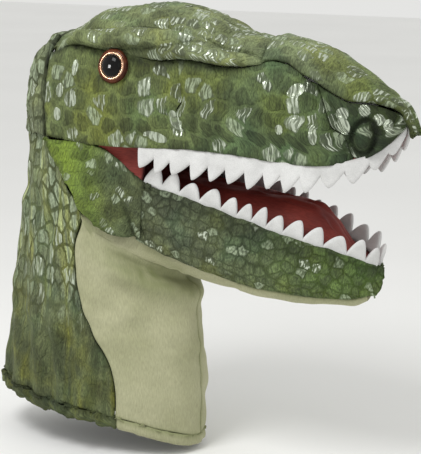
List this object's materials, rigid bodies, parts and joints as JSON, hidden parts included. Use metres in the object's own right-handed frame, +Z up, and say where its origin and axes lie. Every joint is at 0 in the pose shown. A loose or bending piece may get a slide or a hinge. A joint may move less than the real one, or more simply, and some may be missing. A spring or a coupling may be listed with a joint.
{
  "type": "moving mouth hand puppet",
  "caption": "Plush dinosaur-head hand puppet with a long arm sleeve, finger and thumb pockets, a hinged lower jaw and felt teeth.",
  "frame": {"origin": "in the sleeve's opening, on the line of the puppeteer's forearm, level with the middle of the slanted hem", "axes": "+X towards the snout, +Y to the puppet's left, +Z up along the forearm"},
  "size_m": [0.3438, 0.114, 0.339],
  "materials": {
    "scale_plush": "short-pile plush printed with green scales, some with a silver foil",
    "throat_plush": "short-pile plush, pale beige green, matt",
    "tooth_felt": "white felt, matt",
    "mouth_satin": "red velour with a soft sheen",
    "lining_knit": "dark knitted lining, matt",
    "fibrefill": "loose polyester fibre",
    "stiffener": "flexible board, matt",
    "eye_plastic": "moulded safety eye, brown and gold under a black pupil, glossy",
    "eye_felt": "dark felt ring",
    "washer_plastic": "moulded lock washer"
  },
  "bodies": {
    "sleeve": {"sleeve_skin_right": "scale_plush", "sleeve_skin_left": "scale_plush", "sleeve_throat_right": "throat_plush", "sleeve_throat_left": "throat_plush", "hem_skin": "scale_plush", "hem_throat": "throat_plush", "sleeve_lining": "lining_knit"},
    "wrist": {"neck_skin_right": "scale_plush", "neck_skin_left": "scale_plush", "neck_throat_right": "throat_plush", "neck_throat_left": "throat_plush", "glove_cuff": "lining_knit"},
    "head": {"cheek_right": "scale_plush", "cheek_left": "scale_plush", "muzzle_right": "scale_plush", "muzzle_left": "scale_plush", "nose_side_right": "scale_plush", "nose_side_left": "scale_plush", "brow_right": "scale_plush", "brow_left": "scale_plush", "crown_right": "scale_plush", "crown_left": "scale_plush", "nape_right": "scale_plush", "nape_left": "scale_plush", "nose_bridge": "scale_plush", "jowl_right": "scale_plush", "jowl_left": "scale_plush", "mouth_web_right": "mouth_satin", "mouth_web_left": "mouth_satin", "upper_teeth_right": "tooth_felt", "upper_teeth_left": "tooth_felt", "upper_palate": "mouth_satin", "upper_palate_board": "stiffener", "finger_pocket": "lining_knit", "crown_filling": "fibrefill", "snout_filling": "fibrefill", "eye_right": "eye_plastic", "eye_left": "eye_plastic", "eye_felt_right": "eye_felt", "eye_felt_left": "eye_felt", "eye_washer_right": "washer_plastic", "eye_washer_left": "washer_plastic"},
    "jaw": {"jaw_skin_right": "scale_plush", "jaw_skin_left": "scale_plush", "chin_panel": "throat_plush", "throat_gusset": "throat_plush", "lower_teeth_right": "tooth_felt", "lower_teeth_left": "tooth_felt", "lower_palate": "mouth_satin", "lower_palate_board": "stiffener", "thumb_pocket": "lining_knit", "jaw_filling": "fibrefill"}
  },
  "joints": [
    {"name": "head_turn", "type": "hinge", "parent": "sleeve", "child": "wrist", "pos_m": [0, 0, 0.07], "axis": [0, 0, 1], "range_deg": [-35, 35]},
    {"name": "head_nod", "type": "hinge", "parent": "wrist", "child": "head", "pos_m": [0.005, 0, 0.15], "axis": [0, 1, 0], "range_deg": [-18, 12], "deforming": ["neck_skin_right", "neck_skin_left", "neck_throat_right", "neck_throat_left"]},
    {"name": "jaw_open", "type": "hinge", "parent": "head", "child": "jaw", "pos_m": [0.025, 0, 0.214], "axis": [0, 1, 0], "range_deg": [-12.5, 12], "deforming": ["jowl_right", "jowl_left", "mouth_web_right", "mouth_web_left", "throat_gusset"]}
  ]
}
